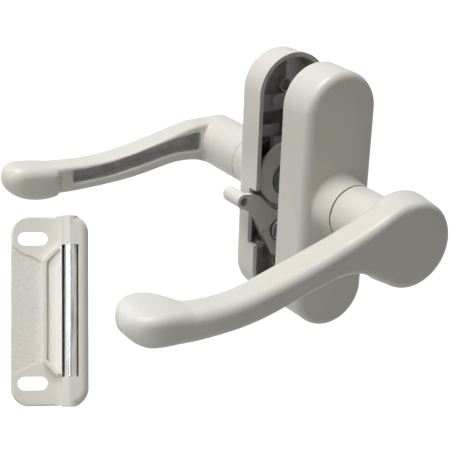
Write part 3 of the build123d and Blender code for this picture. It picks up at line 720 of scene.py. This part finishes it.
exterior_profile = [
    (NECK_RADIUS, EXTERIOR_JOINT),
    *arc((NECK_RADIUS + NECK_FILLET, LOBE_BACK - NECK_FILLET), NECK_FILLET, 180, 90),
    *arc((LOBE_BACK_RADIUS - LOBE_BACK_ROUND, LOBE_BACK + LOBE_BACK_ROUND), LOBE_BACK_ROUND, -90, 0),
    *arc((LOBE_FRONT_RADIUS - LOBE_FRONT_ROUND, LOBE_FRONT - LOBE_FRONT_ROUND), LOBE_FRONT_ROUND, 0, 90),
]
interior_profile = [
    (NECK_RADIUS, INTERIOR_JOINT),
    *arc((NECK_RADIUS - ELBOW_ROUND, ELBOW_END - ELBOW_ROUND), ELBOW_ROUND, 0, 90),
]
lever(
    "exterior_lever_casting", "exterior_lever", side=-1, arm=EXTERIOR_ARM, tip=EXTERIOR_TIP, pad=None,
    channel=EXTERIOR_CHANNEL, profile=exterior_profile, joint=EXTERIOR_JOINT,
)
lever(
    "interior_lever_casting", "interior_lever", side=1, arm=INTERIOR_ARM, tip=INTERIOR_TIP, pad=INTERIOR_PAD,
    channel=INTERIOR_CHANNEL, profile=interior_profile, joint=INTERIOR_JOINT,
)

# The studio, in metres and degrees. The floor lies just under the lowest reach of the turned levers
LEVER_DROP = -0.096
FLOOR_GAP = 0.0002
SHEET_HALF_WIDTH = 3.0
SHEET_TURN = -30
SHEET_SHAPE = [(-1.2, 0.0), (0.9, 0.0), (1.5, 0.08), (1.9, 0.35), (2.05, 0.8), (2.1, 2.4)]
SHEET_GLOW = 0.92
SHEET_SHINE = 0.6
SKY_SHINE = 0.45
SKY_AMBIENT = 0.10
OBJECT_CENTRE = (-0.03, 0.0, 0.0)
PICTURE_WIDTH = 450
SENSOR_WIDTH = 36


def studio_sheet():
    """Floor and backdrop in one sheet, white to the camera and still taking the object's shadow."""
    low = min(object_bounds()[0][2], LEVER_DROP) - FLOOR_GAP
    points = []
    for back, rise in SHEET_SHAPE:
        for side in (-SHEET_HALF_WIDTH, SHEET_HALF_WIDTH):
            points.append((side, back, low + rise))
    faces = [(2 * k, 2 * k + 1, 2 * k + 3, 2 * k + 2) for k in range(len(SHEET_SHAPE) - 1)]
    mesh = bpy.data.meshes.new("studio_sheet")
    mesh.from_pydata(points, [], faces)
    sheet = linked("studio_sheet", mesh)
    set_smooth(sheet, True)
    sheet.matrix_world = Matrix.Rotation(math.radians(SHEET_TURN), 4, "Z")
    t = Tree("studio_white")
    t.colour((0.42, 0.42, 0.41))
    t.rough(0.9)
    t.shader.inputs["Specular IOR Level"].default_value = 0.1
    rays = t.add("ShaderNodeLightPath")
    seen = t.math("MAXIMUM", rays.outputs["Is Camera Ray"], rays.outputs["Is Transmission Ray"])
    seen = t.math("MAXIMUM", seen, t.math("MULTIPLY", rays.outputs["Is Glossy Ray"], SHEET_SHINE))
    glow = t.add("ShaderNodeEmission")
    t.link(t.math("MULTIPLY", seen, SHEET_GLOW), glow.inputs["Strength"])
    both = t.add("ShaderNodeAddShader")
    t.link(t.shader.outputs["BSDF"], both.inputs[0])
    t.link(glow.outputs[0], both.inputs[1])
    t.link(both.outputs[0], t.out.inputs["Surface"])
    mesh.materials.append(t.material)
    sheet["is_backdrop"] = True


def aim(lamp, place, target):
    lamp.location = place
    lamp.rotation_euler = (Vector(target) - Vector(place)).to_track_quat("-Z", "Y").to_euler()


def area_light(name, place, target, size, power):
    data = bpy.data.lights.new(name, "AREA")
    data.shape = "DISK"
    data.size = size
    data.energy = power
    aim(linked(name, data), place, target)


def strike_lamp():
    """A soft narrow lamp aimed at the strike alone."""
    data = bpy.data.lights.new("strike_lamp", "SPOT")
    data.energy = 3.2
    data.spot_size = math.radians(13)
    data.spot_blend = 0.6
    data.shadow_soft_size = 0.06
    aim(linked("strike_lamp", data), (-0.41, -0.27, 0.19), STRIKE_PLACE)


def studio_sky():
    """An even faint light from all round, white where it is looked at."""
    world = bpy.data.worlds.new("studio")
    bpy.context.scene.world = world
    world.use_nodes = True
    sky = world.node_tree
    glow = sky.nodes["Background"]
    glow.inputs["Color"].default_value = (1, 1, 1, 1)
    rays = sky.nodes.new("ShaderNodeLightPath").outputs

    def combined(operation, first, second):
        node = sky.nodes.new("ShaderNodeMath")
        node.operation = operation
        sky.links.new(first, node.inputs[0])
        if isinstance(second, float):
            node.inputs[1].default_value = second
        else:
            sky.links.new(second, node.inputs[1])
        return node.outputs[0]

    level = combined("MULTIPLY", rays["Is Glossy Ray"], SKY_SHINE)
    level = combined("MAXIMUM", level, rays["Is Camera Ray"])
    level = combined("MAXIMUM", level, rays["Is Transmission Ray"])
    level = combined("MAXIMUM", level, SKY_AMBIENT)
    sky.links.new(level, glow.inputs["Strength"])


def studio_camera():
    """The camera, set in front by its angles and then shifted in its own plane by millimetres."""
    azimuth, elevation, roll = -0.5570, 0.3840, 0.0350
    distance, focal, right_shift, up_shift = 468.284, 1161.634, 30.451, 16.294
    back = Vector((
        math.sin(azimuth) * math.cos(elevation),
        -math.cos(azimuth) * math.cos(elevation),
        math.sin(elevation),
    ))
    right = (-back).cross(Vector((0, 0, 1))).normalized()
    up = right.cross(-back)
    across = right * math.cos(roll) + up * math.sin(roll)
    upward = up * math.cos(roll) - right * math.sin(roll)
    place = (back * distance - across * right_shift - upward * up_shift) / 1000
    data = bpy.data.cameras.new("photo_camera")
    data.sensor_width = SENSOR_WIDTH
    data.sensor_fit = "HORIZONTAL"
    data.lens = focal / PICTURE_WIDTH * SENSOR_WIDTH
    data.clip_start = 0.01
    camera = linked("photo_camera", data)
    turn = Matrix((across, upward, back)).transposed().to_4x4()
    camera.matrix_world = Matrix.Translation(place) @ turn
    bpy.context.scene.camera = camera


studio_sheet()
area_light("key_above", (-0.35, 0.16, 1.08), OBJECT_CENTRE, 0.8, 12.0)
area_light("left_side", (-1.10, 0.10, 0.45), OBJECT_CENTRE, 0.8, 1.75)
area_light("front_fill", (0.25, -1.15, 0.35), OBJECT_CENTRE, 0.9, 0.3)
strike_lamp()
studio_sky()
studio_camera()
bpy.context.scene.view_settings.view_transform = "Standard"
